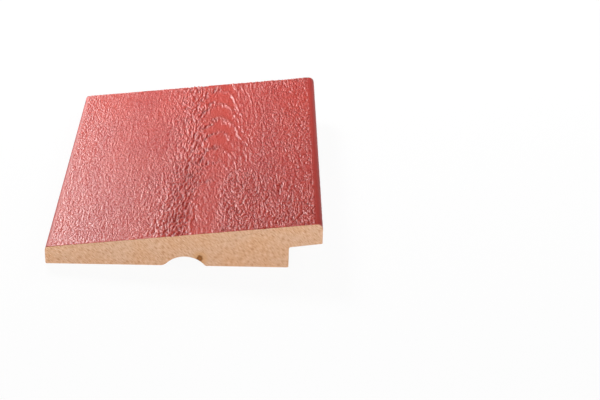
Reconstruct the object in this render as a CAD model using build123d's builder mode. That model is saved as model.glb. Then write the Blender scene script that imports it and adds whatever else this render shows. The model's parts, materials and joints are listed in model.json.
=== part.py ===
"""Bevel siding board: a short length of planed softwood cladding, lying on its back.

The board is one piece of timber. Its section is a wedge, thin along one edge and thick along the other.
A rabbet under the thick edge leaves a lip, which laps over the thin edge of the board below it on a wall.
A shallow round groove runs along the middle of the back, and every corner of the section is eased.

Millimetres. X runs across the board from the thin edge to the thick edge, Y along its length and Z up
from the back. The origin is in the middle of the back.
"""
import os

from build123d import *

# The board as cut
board_length = 200.0
board_width = 145.0

# The wedge, measured where its sloping face meets each edge before the corners are rounded
thin_edge_thickness = 10.0
thick_edge_thickness = 26.5

# The rabbet under the thick edge, with its height at the wall, and the lip that it leaves, measured at its end
rabbet_width = 17.5
rabbet_height = 12.0
lip_end_thickness = 12.0

# The relief groove in the back, part of a circle, with its middle measured from the thin edge
groove_middle = 73.0
groove_width = 21.5
groove_depth = 5.4

# The rounded corners of the section
face_round_thin_edge = 2.4
face_round_thick_edge = 3.5
back_arris_round = 0.8
lip_arris_round = 0.4
rabbet_corner_round = 1.0
groove_mouth_round_thin_side = 5.0
groove_mouth_round_thick_side = 1.5

# Where the section's lines stand across the board
thin_side = -board_width / 2
thick_side = board_width / 2
rabbet_wall = thick_side - rabbet_width
groove_axis = thin_side + groove_middle

# The section's corners. Both edges are planed square to the back
thin_back = (thin_side, 0)
thin_top = (thin_side, thin_edge_thickness)
thick_top = (thick_side, thick_edge_thickness)
lip_end = (thick_side, thick_edge_thickness - lip_end_thickness)
lip_root = (rabbet_wall, rabbet_height)
rabbet_back = (rabbet_wall, 0)
groove_mouth_thin_side = (groove_axis - groove_width / 2, 0)
groove_mouth_thick_side = (groove_axis + groove_width / 2, 0)

# The circle that cuts the groove, from its width and depth at the back
groove_radius = ((groove_width / 2) ** 2 + groove_depth**2) / (2 * groove_depth)

corner_rounds = [
    (thin_top, face_round_thin_edge),
    (thick_top, face_round_thick_edge),
    (thin_back, back_arris_round),
    (rabbet_back, back_arris_round),
    (lip_end, lip_arris_round),
    (lip_root, rabbet_corner_round),
    (groove_mouth_thin_side, groove_mouth_round_thin_side),
    (groove_mouth_thick_side, groove_mouth_round_thick_side),
]

# The board: its section across the grain, run out both ways from the middle of its length
with BuildPart() as siding_board:
    with BuildSketch(Plane.XZ) as section:
        with BuildLine():
            Polyline(thin_back, rabbet_back, lip_root, lip_end, thick_top, thin_top, close=True)
        make_face()
        with Locations((groove_axis, groove_depth - groove_radius)):
            Circle(groove_radius, mode=Mode.SUBTRACT)
        for corner, radius in corner_rounds:
            fillet(section.vertices().sort_by_distance(corner)[0], radius)
    extrude(amount=board_length / 2, both=True)

siding_board.part.label = "siding_board"

os.makedirs("parts", exist_ok=True)
export_step(siding_board.part, "parts/siding_board.step")
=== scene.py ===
"""Looks of the bevel siding board: a sawn, red-painted face and edges, a bare planed back and sawn ends."""
import json
from math import ceil, pi, radians
from types import SimpleNamespace

import bpy
import numpy as np
from mathutils import Matrix, Vector

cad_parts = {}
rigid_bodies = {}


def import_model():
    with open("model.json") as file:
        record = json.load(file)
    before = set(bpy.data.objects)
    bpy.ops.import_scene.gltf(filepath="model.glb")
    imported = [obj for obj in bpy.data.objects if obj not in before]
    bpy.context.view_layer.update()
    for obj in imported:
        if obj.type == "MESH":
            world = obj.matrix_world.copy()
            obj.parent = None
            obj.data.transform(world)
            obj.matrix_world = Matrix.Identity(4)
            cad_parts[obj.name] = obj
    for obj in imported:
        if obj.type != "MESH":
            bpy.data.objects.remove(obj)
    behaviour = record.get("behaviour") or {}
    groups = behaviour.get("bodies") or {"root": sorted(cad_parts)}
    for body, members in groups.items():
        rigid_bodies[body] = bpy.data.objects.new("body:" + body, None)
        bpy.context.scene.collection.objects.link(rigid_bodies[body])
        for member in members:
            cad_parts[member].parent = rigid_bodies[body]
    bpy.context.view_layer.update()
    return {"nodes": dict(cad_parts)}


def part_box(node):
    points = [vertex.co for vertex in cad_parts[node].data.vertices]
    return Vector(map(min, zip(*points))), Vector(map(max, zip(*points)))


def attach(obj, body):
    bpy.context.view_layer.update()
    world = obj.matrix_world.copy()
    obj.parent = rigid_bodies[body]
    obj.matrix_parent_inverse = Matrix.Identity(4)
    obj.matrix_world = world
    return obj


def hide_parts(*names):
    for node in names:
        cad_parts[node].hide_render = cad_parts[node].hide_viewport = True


for leftover in list(bpy.data.objects):
    bpy.data.objects.remove(leftover)

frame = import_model()

MM = 0.001

# The board, from the frame
node_name = "siding_board"
board_middle = (0, 0, 0.02)
board_low, board_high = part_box(node_name)
front_end, back_end = board_low.y, board_high.y

# Spacing of the mesh: across the face, round its edges, round the bare back and along the board
face_step = 0.32 * MM
edge_step = 1.0 * MM
bare_step = 4.0 * MM
length_step = 1.0 * MM
same_place = 1e-6
sharp_angle = radians(60)

# Sawn relief of the painted face, in millimetres. It lies about the true face, within the board's true size
relief_seed = 11
relief_grid_across = 0.2
relief_grid_along = 0.4
half_grid_across = 95
half_grid_along = 105
face_sink = 0.05
deepest_cut = 1.0
speckle_height = 0.085
band_height = 0.165
ridge_height = 0.34
pit_depth = 0.50
edge_relief_share = 0.15
lip_relief_share = 0.5
paint_foot_run = 1.2

# The figure of the growth rings on the face, in millimetres from the middle of the board
figure_middle = 11.0
figure_drift = 0.02
figure_bow = 4.5
bow_place, bow_length = 5, 45
figure_top = 91.0
ring_run = 21.5
arch_spread = 4.7
arch_spread_left = 6.0
arch_sides = (4, -6)

# How far the rings waver, as shares of one ring
ring_wander = 0.09
ring_ripple = 0.07

# Zones of the face, in millimetres. Those in pairs start at the first place and are full at the second
left_side = (5, -35)
front_side = (60, -80)
heart_half_width = 8.5
torn_middle, torn_width = -14, 9
arch_width = 11
arch_rise = (-5, 25)
limb_inner = (1, 6)
limb_outer = (16, 26)
limb_rise = (-60, 10)
quiet_rise = (-60, 0)
fibre_middle, fibre_width = 8, 26
fibre_rise = (-70, -10)
flank_middle, flank_width = -8, 6
flank_rise = (-70, -20)

# Grains of the relief, in millimetres across and along, and how far some are drawn out along the grain
wander_grain = (4, 9)
ripple_grain = (1.5, 3)
patch_grain = (7, 12)
blotch_grain = (1.3, 2.0)
fleck_grain = (0.23, 0.30)
short_reach = 0.15
stroke_reach = 0.5
coarse_grain = (0.27, 0.38)
coarse_reach = 0.55
fibre_grain = (0.36, 0.5)
fibre_reach = 1.7
break_grain = (0.8, 1.2)
break_reach = 1.5
hole_grain = (0.5, 0.7)
hole_reach = 1.6
dot_grain = (0.32, 0.5)

# Camera, fitted to the photograph's outline of the board
camera_place = (38.23 * MM, -802.17 * MM, 395.89 * MM)
camera_pitch = radians(26.871)
camera_yaw = radians(1.772)
camera_roll = radians(1.880)
camera_lens = 91.73
camera_sensor = 36.0

# Light levels of the studio
ambient_strength = 0.18
overhead_gloss = 0.10
backdrop_top = 0.05
backdrop_blend = 0.07
floor_colour = (0.9, 0.9, 0.9, 1)
floor_white_share = 0.94


def smooth_step(value, low, high):
    """0 up to low, 1 from high on and a smooth change between them. High may be the smaller."""
    t = np.clip((value - low) / (high - low), 0, 1)
    return t * t * (3 - 2 * t)


def bell(value, middle, width):
    """A smooth hump round a middle value."""
    return np.exp(-(((value - middle) / width) ** 2))


# The section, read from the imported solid


def read_outline(solid):
    """The section's corners as (across, height), from the solid's front end.

    They run anticlockwise as seen from the front, from the foot of the thick edge.
    """
    mesh = solid.data
    steps = set()
    for face in mesh.polygons:
        if face.normal.y < -0.99:
            corners = list(face.vertices)
            steps.update(zip(corners, corners[1:] + corners[:1]))
    following = {here: there for here, there in steps if (there, here) not in steps}
    places = {i: mesh.vertices[i].co for i in following}
    first = min(places, key=lambda i: (-round(places[i].x, 6), places[i].z))
    order = [first]
    while following[order[-1]] != first:
        order.append(following[order[-1]])
    return np.array([(places[i].x, places[i].z) for i in order])


def refine_outline(corners):
    """The outline with points at the mesh spacing, from the foot of the thick edge up and round.

    Gives the points, the distance of each inside the paint's edge (below zero on bare wood), and the
    place of each across the face as if the edges were rolled out flat.
    """
    thin_side = corners[:, 0].min() + same_place
    foot = min(i for i in range(len(corners)) if corners[i, 0] < thin_side)
    while corners[foot + 1, 0] < thin_side:
        foot += 1
    closed = np.vstack([corners, corners[:1]])
    lengths = np.linalg.norm(np.diff(closed, axis=0), axis=1)
    along = np.concatenate([[0], np.cumsum(lengths)])
    points, travelled = [], []
    face = int(np.argmax(lengths))
    for i, length in enumerate(lengths):
        step = face_step if i == face else edge_step if i < foot else bare_step
        pieces = ceil(length / step)
        for k in range(pieces):
            points.append(closed[i] + (closed[i + 1] - closed[i]) * k / pieces)
            travelled.append(along[i] + length * k / pieces)
    points, travelled = np.array(points), np.array(travelled)
    painted_run, whole_run = along[foot], along[-1]
    inside = np.minimum(travelled, painted_run - travelled)
    outside = np.minimum(travelled - painted_run, whole_run - travelled)
    paint_edge = np.where(travelled <= painted_run, inside, -outside)
    across = closed[face, 0] - (travelled - along[face])
    return points, paint_edge, across


def outline_normals(points):
    """Unit vectors that point out of the section."""
    run = np.roll(points, -1, axis=0) - np.roll(points, 1, axis=0)
    out = np.stack([run[:, 1], -run[:, 0]], axis=1)
    return out / np.linalg.norm(out, axis=1, keepdims=True)


outline = read_outline(frame["nodes"][node_name])
face_start = int(np.argmax(np.linalg.norm(np.diff(outline, axis=0), axis=1)))
outline_face = outline[face_start:face_start + 2]
face_run = np.linalg.norm(outline_face[1] - outline_face[0])


# The relief of the sawn face, as fields over a flat grid in millimetres


class Fields:
    """Patterns over the rolled-out painted face, made from one seeded source of noise."""

    def __init__(self, half_across, half_along):
        self.across = np.arange(-half_across, half_across, relief_grid_across)
        self.along = np.arange(-half_along, half_along, relief_grid_along)
        self.x, self.y = np.meshgrid(self.across, self.along)
        self.random = np.random.default_rng(relief_seed)

    def noise(self, size_across, size_along):
        """Smooth noise of unit spread, with grains of the given sizes."""
        white = np.fft.rfft2(self.random.standard_normal(self.x.shape))
        rate_across = np.fft.rfftfreq(len(self.across), relief_grid_across)
        rate_along = np.fft.fftfreq(len(self.along), relief_grid_along)
        keep_across = np.exp(-2 * (pi * rate_across * size_across) ** 2)
        keep_along = np.exp(-2 * (pi * rate_along * size_along) ** 2)
        field = np.fft.irfft2(white * keep_along[:, None] * keep_across[None, :], self.x.shape)
        return field / field.std()

    def at(self, field, across, along):
        """A field read between its grid points."""
        col = np.clip((across - self.across[0]) / relief_grid_across, 0, len(self.across) - 1.001)
        row = np.clip((along - self.along[0]) / relief_grid_along, 0, len(self.along) - 1.001)
        c, r = col.astype(int), row.astype(int)
        a, b = col - c, row - r
        near = field[r, c] * (1 - a) + field[r, c + 1] * a
        far = field[r + 1, c] * (1 - a) + field[r + 1, c + 1] * a
        return near * (1 - b) + far * b

    def combed(self, field, lean, reach, steps=6):
        """A field drawn out along the grain, which leans across by so much for each step along."""
        total, weight = np.zeros_like(field), 0.0
        for k in range(-steps, steps + 1):
            move = 2 * reach * k / steps
            share = np.exp(-0.5 * (move / reach) ** 2)
            total += share * self.at(field, self.x + lean * move, self.y + move)
            weight += share
        total /= weight
        return total / total.std()


def figure(x, y):
    """Distance from the figure's middle line, and the ring count, which closes in arches to the back."""
    middle = figure_middle + figure_drift * y + figure_bow * bell(y, bow_place, bow_length)
    off = x - middle
    spread = arch_spread + arch_spread_left * smooth_step(off, *arch_sides)
    rings = (y + off**2 / spread - figure_top) / ring_run
    return off, rings


def figure_zones(fields):
    """Where the parts of the figure lie, each from 0 to 1, with the late wood and the lean of the grain."""
    x, y = fields.x, fields.y
    off, rings = figure(x, y)
    rings = rings + ring_wander * fields.noise(*wander_grain) + ring_ripple * fields.noise(*ripple_grain)
    zone = SimpleNamespace(off=off)
    zone.lean = -3.0 * off / (off**2 + 60)
    zone.late = 0.5 + 0.5 * np.cos(2 * pi * rings)
    zone.left = smooth_step(x, *left_side)
    zone.nearer = smooth_step(y, *front_side)
    zone.heart = np.exp(-((off / heart_half_width) ** 4))
    zone.torn = bell(off, torn_middle, torn_width)
    zone.arches = smooth_step(y, *arch_rise) * bell(off, 0, arch_width)
    beside = smooth_step(off, *limb_inner) * (1 - smooth_step(off, *limb_outer))
    zone.limb = beside * smooth_step(y, *limb_rise)
    zone.quiet = zone.heart * (1 - 0.65 * zone.late**2 * smooth_step(y, *quiet_rise))
    return zone


def roughness_shares(fields, zone):
    """How strong the paint's fine grain is at each place, and how strong the sawn flecks are."""
    smooth = 1 - (0.5 + 0.2 * zone.nearer) * zone.quiet
    smooth = smooth * (1 - 0.6 * zone.arches * (1 - zone.late**2))
    smooth = smooth * (1 - 0.4 * zone.limb)
    patchy = 1 + 0.15 * fields.noise(*patch_grain) + 0.10 * fields.noise(*blotch_grain)
    grain = smooth * patchy * ((1 - zone.left) + 0.5 * zone.left)
    rough = smooth * patchy * ((1.2 + 0.7 * zone.nearer**2) * (1 - zone.left) + 0.31 * zone.left)
    return grain, rough


def fleck_height(fields, zone, rough):
    """Fine flecks, short on the right and drawn out on the left, with coarse ones in the torn band."""
    short = fields.combed(fields.noise(*fleck_grain), zone.lean, short_reach)
    strokes = fields.combed(fields.noise(*fleck_grain), zone.lean, stroke_reach)
    speckle = short * (1 - zone.left) + strokes * zone.left
    coarse = fields.combed(fields.noise(*coarse_grain), zone.lean, coarse_reach)
    streaky = 0.8 * zone.torn * (1 + zone.nearer**2) + 0.40 * (1 - 0.75 * zone.left)
    streaky = streaky * (1 - 0.75 * zone.quiet)
    return speckle_height * rough * speckle + band_height * streaky * coarse


def raised_ridges(fields, zone):
    """Late wood that stands up in broken lines on the right of the arches, and single fibres about it."""
    fibre = smooth_step(fields.combed(fields.noise(*fibre_grain), zone.lean, fibre_reach), 0.7, 2.2)
    fibres = fibre * bell(zone.off, fibre_middle, fibre_width)
    fibres = fibres * (1 - 0.5 * zone.heart) * smooth_step(fields.y, *fibre_rise)
    broken = smooth_step(fields.combed(fields.noise(*break_grain), zone.lean, break_reach), -0.9, 0.5)
    return np.maximum(zone.limb * broken * zone.late**6, 0.5 * fibres)


def torn_pits(fields, zone):
    """Holes in the torn band and along the rings beside it, and small dots at the front right."""
    holes = fields.combed(fields.noise(*hole_grain), zone.lean, hole_reach)
    flank = 0.8 * bell(zone.off, flank_middle, flank_width) * smooth_step(fields.y, *flank_rise)
    pits = 0.4 * smooth_step(holes, 0.7, 2.2) * zone.torn
    pits = pits + flank * smooth_step(holes, -0.5, 1.0) * zone.late**6
    dots = smooth_step(fields.noise(*dot_grain), 1.2, 2.4)
    dots = dots * zone.nearer * (1 - zone.left) * (1 - zone.quiet)
    return np.maximum(pits, 0.7 * dots)


def face_relief():
    """The height of the sawn face over its mean, and the patterns that its colour follows."""
    fields = Fields(half_grid_across, half_grid_along)
    zone = figure_zones(fields)
    grain, rough = roughness_shares(fields, zone)
    height = fleck_height(fields, zone, rough)
    ridges = raised_ridges(fields, zone)
    height += ridge_height * ridges
    pits = torn_pits(fields, zone)
    height -= pit_depth * pits
    calm = (1 - zone.late**2) * zone.arches + 0.7 * zone.quiet * (1 - zone.arches) + 0.8 * zone.torn
    # The pit and ridge patterns also set painted shade in the pits and a painted highlight on the ridges
    patterns = {"pit": np.clip(pits, 0, 1), "calm": np.clip(calm, 0, 1), "grain": grain, "ridge": ridges}
    return fields, height, patterns


# The board's mesh


def relief_on(across, stations):
    """The relief and its patterns read at each point of a grid across and along the painted face."""
    fields, height, patterns = face_relief()
    u, v = np.meshgrid(across / MM, stations / MM)
    return fields.at(height, u, v), {mark: fields.at(pattern, u, v) for mark, pattern in patterns.items()}


def edge_shares(across):
    """How far each place across the paint belongs to the flat face, the lip and the thin edge."""
    from_thick = (outline_face[0, 0] - across) / MM
    from_thin = face_run / MM - from_thick
    on_face = smooth_step(np.minimum(from_thick, from_thin), -0.6, 0.3)
    on_lip = smooth_step(from_thick, 0.5, -1.5)
    on_thin = smooth_step(from_thin, 1.2, -0.8)
    return on_face, on_lip, on_thin


def cut_depth(height, points, paint_edge, on_face, on_lip):
    """How far each point of the painted grid lies inside the true section."""
    edge_share = edge_relief_share + (lip_relief_share - edge_relief_share) * on_lip
    share = edge_share + (1 - edge_share) * on_face
    share = share * smooth_step(paint_edge, 0, paint_foot_run * MM)
    room = (board_high.z - points[:, 1]) / MM * on_face
    return np.clip((face_sink - height) * share, -room, deepest_cut) * MM


def quads(grid):
    """Four-sided faces between the neighbours of a grid of vertex numbers."""
    corners = [grid[:-1, :-1], grid[1:, :-1], grid[1:, 1:], grid[:-1, 1:]]
    return np.stack(corners, axis=-1).reshape(-1, 4).tolist()


def closed_faces(grid, plain):
    """Faces of the painted grid and of the bare back, two that join them, and the two ends last."""
    faces = quads(grid) + quads(plain)
    grid, plain = grid.tolist(), plain.tolist()
    faces.append([row[-1] for row in grid] + [plain[1][0], plain[0][0]])
    faces.append([plain[0][-1], plain[1][-1]] + [row[0] for row in reversed(grid)])
    faces.append(grid[0] + plain[0])
    faces.append((grid[-1] + plain[1])[::-1])
    return faces


def shaded_mesh(name, places, faces):
    """A mesh shaded smooth, with flat ends of the second material. The ends are the last two faces."""
    mesh = bpy.data.meshes.new(name)
    mesh.from_pydata(places, [], faces)
    is_end = np.zeros(len(faces), dtype=np.int32)
    is_end[-2:] = 1
    mesh.polygons.foreach_set("material_index", is_end)
    mesh.polygons.foreach_set("use_smooth", is_end == 0)
    mesh.set_sharp_from_angle(angle=sharp_angle)
    return mesh


def board_mesh(name):
    """One closed mesh of the whole board.

    It is a fine grid with the sawn relief where it is painted, and long plain faces where it is bare.
    """
    points, paint_edge, across = refine_outline(outline)
    normals = outline_normals(points)
    columns = int(np.sum(paint_edge >= 0))
    bare_points, bare_edge = points[columns:], paint_edge[columns:]
    points, normals, paint_edge, across = (a[:columns] for a in (points, normals, paint_edge, across))
    stations = np.linspace(front_end, back_end, ceil((back_end - front_end) / length_step) + 1)
    height, patterns = relief_on(across, stations)
    on_face, on_lip, on_thin = edge_shares(across)
    depth = cut_depth(height, points, paint_edge, on_face, on_lip)

    section = points[None] - normals[None] * depth[..., None]
    length = np.broadcast_to(stations[:, None], depth.shape)
    painted = np.stack([section[..., 0], length, section[..., 1]], axis=-1).reshape(-1, 3)
    bare = [(x, y, z) for y in (front_end, back_end) for x, z in bare_points]
    grid = np.arange(depth.size).reshape(depth.shape)
    plain = depth.size + np.arange(len(bare)).reshape(2, -1)
    mesh = shaded_mesh(name, painted.tolist() + bare, closed_faces(grid, plain))

    marks = {mark: pattern * on_face for mark, pattern in patterns.items()}
    marks["relief"] = height * on_face
    marks["lip_edge"] = np.broadcast_to(on_lip, depth.shape)
    marks["thin_edge"] = np.broadcast_to(on_thin, depth.shape)
    marks["paint_edge"] = np.broadcast_to(paint_edge / MM, depth.shape)
    for mark, values in marks.items():
        off_face = np.tile(bare_edge / MM, 2) if mark == "paint_edge" else np.zeros(len(bare))
        everywhere = np.concatenate([values.ravel(), off_face])
        mesh.attributes.new(mark, "FLOAT", "POINT").data.foreach_set("value", everywhere)
    mesh.validate()
    mesh.update()
    return mesh


# Materials


class Shader:
    """A material's nodes, with short calls to add them and join them."""

    def __init__(self, name):
        self.material = bpy.data.materials.new(name)
        self.material.use_nodes = True
        self.tree = self.material.node_tree
        self.tree.nodes.clear()
        self.surface = self.add("ShaderNodeBsdfPrincipled")
        output = self.add("ShaderNodeOutputMaterial")
        self.tree.links.new(self.surface.outputs[0], output.inputs[0])
        self.place = self.add("ShaderNodeTexCoord").outputs["Object"]

    def add(self, kind, inputs=None, **settings):
        node = self.tree.nodes.new(kind)
        for key, value in settings.items():
            setattr(node, key, value)
        for key, value in (inputs or {}).items():
            self.feed(node.inputs[key], value)
        return node

    def feed(self, socket, value):
        if isinstance(value, bpy.types.NodeSocket):
            self.tree.links.new(value, socket)
        else:
            socket.default_value = value

    def set(self, name, value):
        self.feed(self.surface.inputs[name], value)

    def mark(self, name):
        """A value that the mesh carries at each vertex."""
        return self.add("ShaderNodeAttribute", attribute_name=name).outputs["Fac"]

    def maths(self, operation, first, second=0.0):
        return self.add("ShaderNodeMath", {0: first, 1: second}, operation=operation).outputs[0]

    def times(self, first, second):
        return self.maths("MULTIPLY", first, second)

    def ramp(self, value, low, high, out_low=0.0, out_high=1.0):
        inputs = {0: value, 1: low, 2: high, 3: out_low, 4: out_high}
        return self.add("ShaderNodeMapRange", inputs, interpolation_type="SMOOTHSTEP").outputs[0]

    def split_place(self):
        """Object coordinates across, along and up."""
        return self.add("ShaderNodeSeparateXYZ", {0: self.place}).outputs

    def distance_from(self, centre):
        """Distance in the section from a centre given across and up."""
        x, _, z = self.split_place()
        away_across = self.maths("SUBTRACT", x, centre[0])
        away_up = self.maths("SUBTRACT", z, centre[1])
        away = self.add("ShaderNodeCombineXYZ", {0: away_across, 2: away_up}).outputs[0]
        return self.add("ShaderNodeVectorMath", {0: away}, operation="LENGTH").outputs["Value"]

    def noise_at(self, place, detail=2.0, roughness=0.5):
        inputs = {"Vector": place, "Scale": 1.0, "Detail": detail, "Roughness": roughness}
        return self.add("ShaderNodeTexNoise", inputs).outputs[0]

    def noise(self, scale, detail=2.0, roughness=0.5):
        """Noise with so many grains to the metre along each axis."""
        place = self.add("ShaderNodeMapping", {"Vector": self.place, "Scale": scale}).outputs[0]
        return self.noise_at(place, detail, roughness)

    def blend(self, share, first, second):
        return self.add("ShaderNodeMix", {0: share, 6: first, 7: second}, data_type="RGBA").outputs[2]

    def blend_value(self, share, first, second):
        return self.add("ShaderNodeMix", {0: share, 2: first, 3: second}).outputs[0]

    def bump(self, height, distance):
        return self.add("ShaderNodeBump", {"Height": height, "Distance": distance}).outputs[0]


# Paint: colours, gloss and grains to the metre
paint_red = (0.53, 0.060, 0.049, 1)
# Deep red of the paint's cut edge on the ends, also used as painted shade on the low places of the relief
# and on the rounded edges
paint_deep_and_shade = (0.36, 0.030, 0.024, 1)
# Painted shade for the hollows of the fine grain
paint_hollow_shade = (0.30, 0.024, 0.019, 1)
# Painted shade for the pits
paint_pit_shade = (0.22, 0.018, 0.016, 1)
# Painted highlight for raised places, ridges and flecks
paint_highlight = (0.60, 0.10, 0.083, 1)
paint_bright = (0.58, 0.067, 0.049, 1)
paint_cloud_scale = (60, 18, 60)
paint_line_scale = (500, 120, 500)
paint_speck_scale = (1250, 800, 1250)
paint_gloss_scale = (900, 500, 900)
paint_roughness = (0.27, 0.35)
dull_roughness = 0.5
glint_specular = (0.10, 0.70)
plain_specular = 0.30
paint_bump = 0.45 * MM
# Relief height at which the painted shade and painted highlight are full
relief_shading_height = 0.22

# Bare planed wood
wood_pale = (0.74, 0.50, 0.31, 1)
wood_warm = (0.72, 0.45, 0.26, 1)
wood_late = (0.54, 0.29, 0.14, 1)
wood_roughness = 0.62
wood_bump_share = 0.03
wood_fibre_scale = (1100, 9, 1100)
wood_patch_scale = (25, 8, 25)
pith_place = (11.0 * MM, -30.0 * MM)
ring_width = 3.4 * MM
ring_bend = 6.0 * MM
ring_bend_scale = (14, 4, 14)

# Sawn ends, with the knot in the front one
end_pale = (0.67, 0.42, 0.276, 1)
end_warm = (0.664, 0.38, 0.22, 1)
end_light = (0.76, 0.51, 0.35, 1)
end_dark = (0.44, 0.19, 0.070, 1)
end_cloud_scale = (50, 50, 50)
end_pore_scale = (1300, 1300, 1300)
end_ragged_scale = (700, 700, 700)
end_roughness = (0.6, 0.8)
end_specular = 0.2
end_bump = 0.08 * MM
knot_halo = (0.62, 0.32, 0.13, 1)
knot_rim = (0.24, 0.088, 0.024, 1)
knot_core = (0.37, 0.136, 0.032, 1)
knot_place = (8.4 * MM, 4.5 * MM)
knot_ragged = 0.4 * MM
paint_thickness = 0.30 * MM
paint_line_blur = 0.10 * MM
paint_line_ragged = 0.12 * MM
saw_marks_across = 1500.0
saw_marks_along = 300.0


def bare_wood(s):
    """Colour and height of planed softwood: rings about a pith below the board, and fibres along it."""
    distance = s.distance_from(pith_place)
    bend = s.ramp(s.noise(ring_bend_scale), 0.0, 1.0, -ring_bend, ring_bend)
    rings = s.maths("FRACT", s.maths("DIVIDE", s.maths("ADD", distance, bend), ring_width))
    late = s.times(s.ramp(rings, 0.35, 0.92), s.ramp(rings, 1.0, 0.93))
    fibre = s.noise(wood_fibre_scale, detail=3.0)
    patch = s.noise(wood_patch_scale)
    tone = s.blend(s.ramp(patch, 0.35, 0.65), wood_pale, wood_warm)
    tone = s.blend(s.times(late, 0.75), tone, wood_late)
    tone = s.blend(s.ramp(fibre, 0.52, 0.75, 0.0, 0.5), tone, wood_late)
    return tone, fibre


def paint_tone(s, speckle, grain):
    """The paint's colour, with painted shade in hollows, pits and on the rounded edges, and painted
    highlights on raised places, ridges and flecks.
    """
    tone = s.blend(s.ramp(s.noise(paint_cloud_scale), 0.3, 0.7), paint_red, paint_bright)
    tone = s.blend(s.mark("calm"), tone, paint_bright)
    relief = s.mark("relief")
    # Painted shade on the low places of the relief and a painted highlight on its high ones, partly also
    # the paint lying thicker in hollows and worn on tops
    tone = s.blend(s.ramp(relief, 0.0, -relief_shading_height, 0.0, 0.6), tone, paint_deep_and_shade)
    tone = s.blend(s.ramp(relief, 0.0, relief_shading_height, 0.0, 0.6), tone, paint_highlight)
    # Painted highlight on the raised late-wood ridges and fibres
    tone = s.blend(s.times(s.mark("ridge"), 0.5), tone, paint_highlight)
    # Painted shade in the torn pits and dots
    tone = s.blend(s.mark("pit"), tone, paint_pit_shade)
    # Painted shade on the rounded lip edge and on the round of the thin edge
    tone = s.blend(s.times(s.mark("lip_edge"), 0.6), tone, paint_deep_and_shade)
    tone = s.blend(s.times(s.mark("thin_edge"), 0.2), tone, paint_deep_and_shade)
    # Painted shade in the hollows of the fine grain and painted highlights on its flecks, from the same
    # noise as the bump
    hollow_shade = s.times(s.ramp(speckle, 0.50, 0.30, 0.0, 0.9), grain)
    tone = s.blend(hollow_shade, tone, paint_hollow_shade)
    fleck_highlight = s.times(s.ramp(speckle, 0.50, 0.75, 0.0, 0.4), grain)
    return s.blend(fleck_highlight, tone, paint_highlight)


def timber_material():
    """Satin red paint on the face and edges, bare planed wood behind, with an uneven line between them."""
    s = Shader("painted_timber")
    edge = s.maths("ADD", s.mark("paint_edge"), s.ramp(s.noise(paint_line_scale), 0.2, 0.8, -0.5, 0.5))
    painted = s.ramp(edge, -0.1, 0.1)
    speckle = s.noise(paint_speck_scale, detail=1.0)
    grain = s.mark("grain")
    wood, fibre = bare_wood(s)
    s.set("Base Color", s.blend(painted, wood, paint_tone(s, speckle, grain)))

    dull = s.maths("MAXIMUM", s.mark("lip_edge"), s.mark("thin_edge"))
    gloss = s.ramp(s.noise(paint_gloss_scale), 0.3, 0.7, *paint_roughness)
    gloss = s.blend_value(dull, gloss, dull_roughness)
    s.set("Roughness", s.blend_value(painted, wood_roughness, gloss))
    even = s.maths("MAXIMUM", s.mark("calm"), dull)
    glint = s.ramp(speckle, 0.38, 0.62, *glint_specular)
    glint = s.blend_value(even, glint, plain_specular)
    s.set("Specular IOR Level", s.blend_value(painted, plain_specular, glint))
    height = s.blend_value(painted, s.times(fibre, wood_bump_share), s.times(speckle, grain))
    s.set("Normal", s.bump(height, paint_bump))
    return s.material


def saw_marks(s):
    """Noise drawn out along the slanting strokes of the saw."""
    x, y, z = s.split_place()
    across = s.times(s.maths("ADD", x, z), saw_marks_across)
    along = s.times(s.maths("SUBTRACT", x, z), saw_marks_along)
    place = s.add("ShaderNodeCombineXYZ", {0: across, 1: along, 2: s.times(y, saw_marks_across)})
    return s.noise_at(place.outputs[0], detail=1.0)


def with_knot(s, tone, ragged):
    """A tone with the small knot of the front end, from its pale halo in to its core."""
    distance = s.distance_from(knot_place)
    distance = s.maths("ADD", distance, s.ramp(ragged, 0.2, 0.8, -knot_ragged, knot_ragged))
    front = s.maths("LESS_THAN", s.split_place()[1], 0.0)
    halo = s.times(s.ramp(distance, 5.5 * MM, 1.5 * MM), front)
    tone = s.blend(s.times(halo, 0.7), tone, knot_halo)
    rim = s.times(s.ramp(distance, 2.0 * MM, 1.2 * MM), front)
    tone = s.blend(rim, tone, knot_rim)
    core = s.times(s.ramp(distance, 1.1 * MM, 0.3 * MM), front)
    return s.blend(core, tone, knot_core)


def with_paint_line(s, tone, ragged):
    """A tone with the cut edge of the paint along the sloping face."""
    rise = outline_face[1] - outline_face[0]
    slope = float(rise[1] / rise[0])
    level = float(outline_face[0][1]) - slope * float(outline_face[0][0])
    x, _, z = s.split_place()
    under = s.maths("SUBTRACT", s.maths("ADD", s.times(x, slope), level), z)
    under = s.maths("ADD", under, s.ramp(ragged, 0.2, 0.8, -paint_line_ragged, paint_line_ragged))
    bare, full = paint_thickness + paint_line_blur, paint_thickness - paint_line_blur
    return s.blend(s.ramp(under, bare, full), tone, paint_deep_and_shade)


def end_material():
    """Sawn end grain, with slanting saw marks, a knot at the front and the paint's edge along the face."""
    s = Shader("end_grain")
    tone = s.blend(s.ramp(s.noise(end_cloud_scale, detail=3.0), 0.35, 0.65), end_pale, end_warm)
    saw = saw_marks(s)
    tone = s.blend(s.ramp(saw, 0.48, 0.74, 0.0, 0.75), tone, end_dark)
    tone = s.blend(s.ramp(saw, 0.52, 0.26, 0.0, 0.9), tone, end_light)
    pore = s.noise(end_pore_scale, detail=3.0, roughness=0.6)
    tone = s.blend(s.ramp(pore, 0.53, 0.72, 0.0, 0.3), tone, end_dark)
    ragged = s.noise(end_ragged_scale)
    tone = with_knot(s, tone, ragged)
    tone = with_paint_line(s, tone, ragged)
    s.set("Base Color", tone)
    s.set("Specular IOR Level", end_specular)
    s.set("Roughness", s.ramp(pore, 0.3, 0.7, *end_roughness))
    s.set("Normal", s.bump(s.maths("ADD", saw, pore), end_bump))
    return s.material


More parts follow.
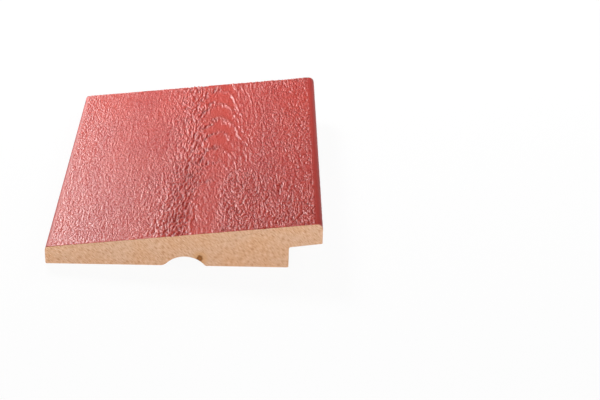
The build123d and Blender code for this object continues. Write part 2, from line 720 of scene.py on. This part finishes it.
def build_board():
    mesh = board_mesh("painted_siding_board")
    mesh.materials.append(timber_material())
    mesh.materials.append(end_material())
    board = bpy.data.objects.new("painted_siding_board", mesh)
    bpy.context.collection.objects.link(board)
    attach(board, "root")
    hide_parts(node_name)


# Studio


def seen_directly(tree):
    """1 for rays that come from the camera, or by way of gloss or glass, and 0 for diffuse light."""
    path = tree.nodes.new("ShaderNodeLightPath")
    total = path.outputs["Is Camera Ray"]
    for name in ("Is Glossy Ray", "Is Transmission Ray"):
        node = tree.nodes.new("ShaderNodeMath")
        node.operation = "MAXIMUM"
        tree.links.new(total, node.inputs[0])
        tree.links.new(path.outputs[name], node.inputs[1])
        total = node.outputs[0]
    return total


def backdrop_level(tree):
    """What gloss sees: a white backdrop near the horizon, which fades to a dim level overhead."""
    height = tree.nodes.new("ShaderNodeSeparateXYZ")
    tree.links.new(tree.nodes.new("ShaderNodeTexCoord").outputs["Generated"], height.inputs[0])
    backdrop = tree.nodes.new("ShaderNodeMapRange")
    backdrop.interpolation_type = "SMOOTHSTEP"
    tree.links.new(height.outputs["Z"], backdrop.inputs[0])
    fade = (backdrop_top - backdrop_blend, backdrop_top + backdrop_blend, 1.0, overhead_gloss)
    for i, value in enumerate(fade):
        backdrop.inputs[i + 1].default_value = value
    return backdrop.outputs[0]


def white_world():
    """White to the camera, a backdrop to gloss and a soft ambient light to everything else."""
    world = bpy.data.worlds.new("white_studio")
    bpy.context.scene.world = world
    world.use_nodes = True
    tree = world.node_tree
    shown = tree.nodes.new("ShaderNodeMix")
    shown.inputs[2].default_value = ambient_strength
    tree.links.new(seen_directly(tree), shown.inputs[0])
    tree.links.new(backdrop_level(tree), shown.inputs[3])
    level = tree.nodes.new("ShaderNodeMix")
    level.inputs[3].default_value = 1.0
    tree.links.new(tree.nodes.new("ShaderNodeLightPath").outputs["Is Camera Ray"], level.inputs[0])
    tree.links.new(shown.outputs[0], level.inputs[2])
    background = tree.nodes["Background"]
    background.inputs["Color"].default_value = (1, 1, 1, 1)
    tree.links.new(level.outputs[0], background.inputs["Strength"])


def floor_material():
    """Nearly white as seen, with a share of plain diffuse floor that keeps the board's shadow."""
    material = bpy.data.materials.new("white_sweep")
    material.use_nodes = True
    tree = material.node_tree
    tree.nodes.clear()
    output = tree.nodes.new("ShaderNodeOutputMaterial")
    diffuse = tree.nodes.new("ShaderNodeBsdfDiffuse")
    diffuse.inputs["Color"].default_value = floor_colour
    white = tree.nodes.new("ShaderNodeEmission")
    white.inputs["Strength"].default_value = 1.0
    share = tree.nodes.new("ShaderNodeMath")
    share.operation = "MULTIPLY"
    share.inputs[1].default_value = floor_white_share
    tree.links.new(seen_directly(tree), share.inputs[0])
    mix = tree.nodes.new("ShaderNodeMixShader")
    tree.links.new(share.outputs[0], mix.inputs[0])
    tree.links.new(diffuse.outputs[0], mix.inputs[1])
    tree.links.new(white.outputs[0], mix.inputs[2])
    tree.links.new(mix.outputs[0], output.inputs[0])
    return material


def white_floor(half_size):
    mesh = bpy.data.meshes.new("studio_floor")
    h = half_size
    mesh.from_pydata([(-h, -h, 0), (h, -h, 0), (h, h, 0), (-h, h, 0)], [], [(0, 1, 2, 3)])
    mesh.materials.append(floor_material())
    floor = bpy.data.objects.new("studio_floor", mesh)
    bpy.context.collection.objects.link(floor)


def soft_lamp(name, place, size, power, in_gloss=True, in_diffuse=True):
    """A rectangular lamp turned to the board, which can be kept out of gloss or out of diffuse light."""
    data = bpy.data.lights.new(name, "AREA")
    data.shape = "RECTANGLE"
    data.size, data.size_y = size
    data.energy = power
    lamp = bpy.data.objects.new(name, data)
    bpy.context.collection.objects.link(lamp)
    lamp.location = place
    lamp.rotation_euler = (Vector(board_middle) - Vector(place)).to_track_quat("-Z", "Y").to_euler()
    lamp.visible_glossy = in_gloss
    lamp.visible_diffuse = in_diffuse


def make_camera():
    data = bpy.data.cameras.new("camera")
    data.lens = camera_lens
    data.sensor_width = camera_sensor
    camera = bpy.data.objects.new("camera", data)
    bpy.context.collection.objects.link(camera)
    turn = Matrix.Rotation(-camera_yaw, 4, "Z")
    tilt = Matrix.Rotation(pi / 2 - camera_pitch, 4, "X")
    roll = Matrix.Rotation(camera_roll, 4, "Z")
    camera.matrix_world = Matrix.Translation(camera_place) @ turn @ tilt @ roll
    bpy.context.scene.camera = camera


build_board()
white_world()
white_floor(half_size=4.0)
soft_lamp("key", place=(-0.26, 0.56, 0.48), size=(0.22, 0.22), power=5.7, in_gloss=False)
soft_lamp("fill", place=(0.40, 0.42, 0.40), size=(0.30, 0.30), power=1.6, in_gloss=False)
soft_lamp("front", place=(0.1, -1.3, 0.25), size=(0.8, 0.5), power=10.8)
soft_lamp("sheen", place=(-0.39, 0.36, 0.21), size=(0.50, 0.36), power=0.52, in_diffuse=False)
soft_lamp("flecks", place=(-1.1, 2.0, 0.9), size=(1.0, 1.0), power=24.0, in_diffuse=False)
make_camera()
bpy.context.scene.view_settings.view_transform = "Standard"
